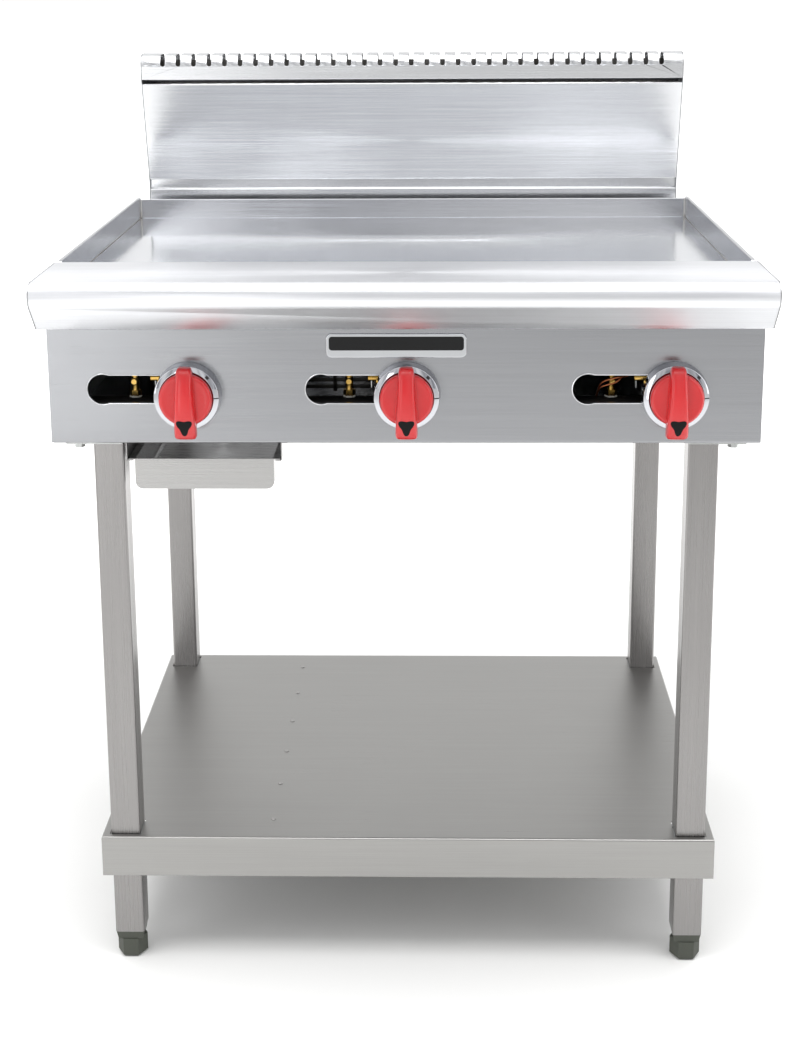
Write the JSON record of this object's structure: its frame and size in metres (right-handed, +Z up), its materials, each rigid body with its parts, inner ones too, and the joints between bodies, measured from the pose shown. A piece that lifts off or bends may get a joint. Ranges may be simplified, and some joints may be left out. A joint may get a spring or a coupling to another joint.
{
  "type": "gas griddle on stand",
  "caption": "Flat-top gas griddle on an open stand: bullnose ledge, turning knobs, splash guards, slotted flue riser, sliding grease pan, lower shelf and screw feet.",
  "frame": {"origin": "centre of the overall footprint at floor level", "axes": "+Z up, -Y towards the cook (controls), +Y along the rear gas connection, +X to the cook's right"},
  "size_m": [0.914, 0.9047, 1.213],
  "materials": {
    "stainless_sheet": "satin, brushed stainless sheet",
    "panel_steel": "fine brushed stainless sheet",
    "guard_steel": "bright brushed, almost mirror",
    "polished_plate": "mirror polished, faint arc brushing",
    "zinc_plate": "zinc plated",
    "rivet_steel": "satin",
    "foot_plastic": "textured, dark grey",
    "aluminised_steel": "matt, aluminised",
    "black_pipe": "matt black pipe",
    "brass": "machined",
    "copper_tube": "drawn copper tube",
    "bezel_chrome": "polished",
    "badge_chrome": "polished",
    "badge_black": "gloss",
    "red_plastic": "gloss"
  },
  "bodies": {
    "body": {"leg_front_left": "stainless_sheet", "leg_front_right": "stainless_sheet", "leg_rear_left": "stainless_sheet", "leg_rear_right": "stainless_sheet", "foot_sockets": "foot_plastic", "shelf": "stainless_sheet", "shelf_stiffener": "stainless_sheet", "shelf_rivets": "rivet_steel", "shelf_brackets": "stainless_sheet", "leg_plates": "zinc_plate", "leg_bolts": "zinc_plate", "bottom_pan": "stainless_sheet", "side_panel_left": "stainless_sheet", "side_panel_right": "stainless_sheet", "rear_panel": "stainless_sheet", "front_panel": "panel_steel", "front_ledge": "panel_steel", "ledge_ends": "panel_steel", "griddle_plate": "polished_plate", "splash_sides": "guard_steel", "splash_rear": "guard_steel", "grease_trough": "stainless_sheet", "grease_chute": "stainless_sheet", "burner_supports": "aluminised_steel", "manifold": "black_pipe", "gas_inlet_pipe": "black_pipe", "orifices": "brass", "pilot_valves": "brass", "pilot_tubes": "copper_tube", "pilot_burners": "brass", "badge_frame": "badge_chrome", "badge_inlay": "badge_black", "flue_front": "stainless_sheet", "flue_back": "stainless_sheet", "flue_cap": "stainless_sheet", "flue_sides": "stainless_sheet", "pan_rails": "stainless_sheet", "burner_left": "aluminised_steel", "valve_body_left": "brass", "burner_centre": "aluminised_steel", "valve_body_centre": "brass", "burner_right": "aluminised_steel", "valve_body_right": "brass"},
    "knob_set_left": {"knob_left": "red_plastic", "bezel_left": "bezel_chrome", "valve_stem_left": "brass"},
    "shutter_left": {"air_shutter_left": "aluminised_steel"},
    "knob_set_centre": {"knob_centre": "red_plastic", "bezel_centre": "bezel_chrome", "valve_stem_centre": "brass"},
    "shutter_centre": {"air_shutter_centre": "aluminised_steel"},
    "knob_set_right": {"knob_right": "red_plastic", "bezel_right": "bezel_chrome", "valve_stem_right": "brass"},
    "shutter_right": {"air_shutter_right": "aluminised_steel"},
    "pan": {"grease_pan": "stainless_sheet"},
    "foot_front_left_screw": {"foot_front_left": "foot_plastic"},
    "foot_front_right_screw": {"foot_front_right": "foot_plastic"},
    "foot_rear_left_screw": {"foot_rear_left": "foot_plastic"},
    "foot_rear_right_screw": {"foot_rear_right": "foot_plastic"}
  },
  "joints": [
    {"name": "knob_turn_left", "type": "hinge", "parent": "body", "child": "knob_set_left", "pos_m": [-0.27767, -0.358, 0.817], "axis": [0, -1, 0], "range_deg": [0, 90]},
    {"name": "air_shutter_turn_left", "type": "hinge", "parent": "body", "child": "shutter_left", "pos_m": [-0.27767, -0.268, 0.817], "axis": [0, -1, 0], "range_deg": [0, 60]},
    {"name": "knob_turn_centre", "type": "hinge", "parent": "body", "child": "knob_set_centre", "pos_m": [0.003, -0.358, 0.817], "axis": [0, -1, 0], "range_deg": [0, 90]},
    {"name": "air_shutter_turn_centre", "type": "hinge", "parent": "body", "child": "shutter_centre", "pos_m": [0.003, -0.268, 0.817], "axis": [0, -1, 0], "range_deg": [0, 60]},
    {"name": "knob_turn_right", "type": "hinge", "parent": "body", "child": "knob_set_right", "pos_m": [0.34467, -0.358, 0.817], "axis": [0, -1, 0], "range_deg": [0, 90]},
    {"name": "air_shutter_turn_right", "type": "hinge", "parent": "body", "child": "shutter_right", "pos_m": [0.34467, -0.268, 0.817], "axis": [0, -1, 0], "range_deg": [0, 60]},
    {"name": "grease_pan_slide", "type": "slide", "parent": "body", "child": "pan", "axis": [0, -1, 0], "range_m": [0, 0.39]},
    {"name": "foot_screw_front_left", "type": "slide", "parent": "body", "child": "foot_front_left_screw", "axis": [0, 0, -1], "range_m": [0, 0.025]},
    {"name": "foot_screw_front_right", "type": "slide", "parent": "body", "child": "foot_front_right_screw", "axis": [0, 0, -1], "range_m": [0, 0.025]},
    {"name": "foot_screw_rear_left", "type": "slide", "parent": "body", "child": "foot_rear_left_screw", "axis": [0, 0, -1], "range_m": [0, 0.025]},
    {"name": "foot_screw_rear_right", "type": "slide", "parent": "body", "child": "foot_rear_right_screw", "axis": [0, 0, -1], "range_m": [0, 0.025]}
  ]
}
